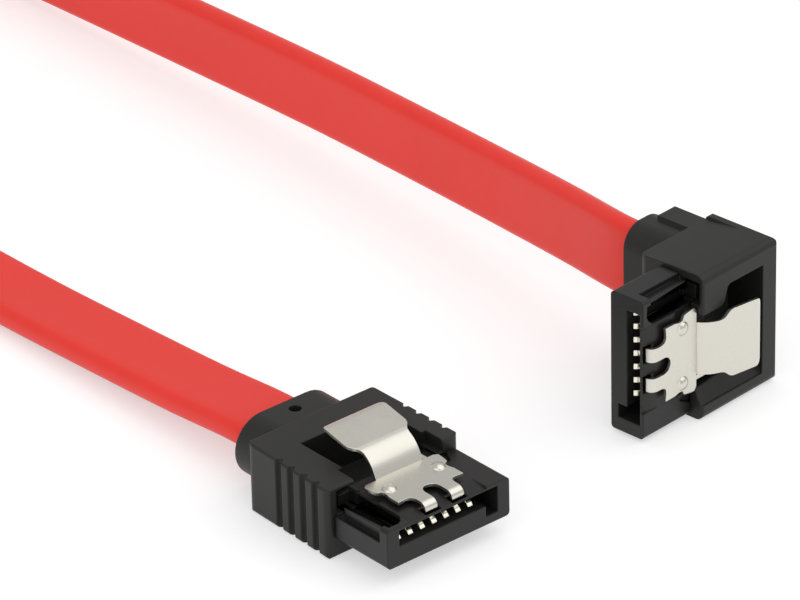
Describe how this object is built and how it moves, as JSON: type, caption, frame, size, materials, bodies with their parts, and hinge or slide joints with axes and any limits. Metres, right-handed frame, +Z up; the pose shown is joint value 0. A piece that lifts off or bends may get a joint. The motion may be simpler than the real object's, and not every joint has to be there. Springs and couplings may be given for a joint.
{
  "type": "serial data cable",
  "caption": "Flat flexible data cable with a straight plug and a right-angled plug, each with a keyed slot, a row of contacts and a sprung metal latch.",
  "frame": {"origin": "on the floor, midway between the outermost faces of the two plugs", "axes": "+Z up, -Y the way the straight plug mates, +X from the straight plug to the right-angled one"},
  "size_m": [0.0476, 0.1564, 0.0137],
  "materials": {
    "shell_plastic": "fine matt moulding",
    "housing_plastic": "smooth satin moulding",
    "latch_steel": "bright rolled sheet",
    "contact_metal": "pale gold plating",
    "cable_jacket": "soft glossy jacket"
  },
  "bodies": {
    "cable_and_plugs": {"straight_shell": "shell_plastic", "straight_housing": "housing_plastic", "straight_contact_1": "contact_metal", "straight_contact_2": "contact_metal", "straight_contact_3": "contact_metal", "straight_contact_4": "contact_metal", "straight_contact_5": "contact_metal", "straight_contact_6": "contact_metal", "straight_contact_7": "contact_metal", "angled_shell": "shell_plastic", "angled_housing": "housing_plastic", "angled_contact_1": "contact_metal", "angled_contact_2": "contact_metal", "angled_contact_3": "contact_metal", "angled_contact_4": "contact_metal", "angled_contact_5": "contact_metal", "angled_contact_6": "contact_metal", "angled_contact_7": "contact_metal", "cable": "cable_jacket"},
    "straight_spring": {"straight_latch": "latch_steel"},
    "angled_spring": {"angled_latch": "latch_steel"}
  },
  "joints": [
    {"name": "straight_latch_press", "type": "hinge", "parent": "cable_and_plugs", "child": "straight_spring", "pos_m": [-0.0163, -0.00958, 0.0056], "axis": [-1, 0, 0], "range_deg": [0, 4.5], "stiffness_Nm_per_rad": 0.4},
    {"name": "angled_latch_press", "type": "hinge", "parent": "cable_and_plugs", "child": "angled_spring", "pos_m": [0.00863, -0.00751, 0.00685], "axis": [0, 0, 1], "range_deg": [0, 4.5], "stiffness_Nm_per_rad": 0.4}
  ]
}
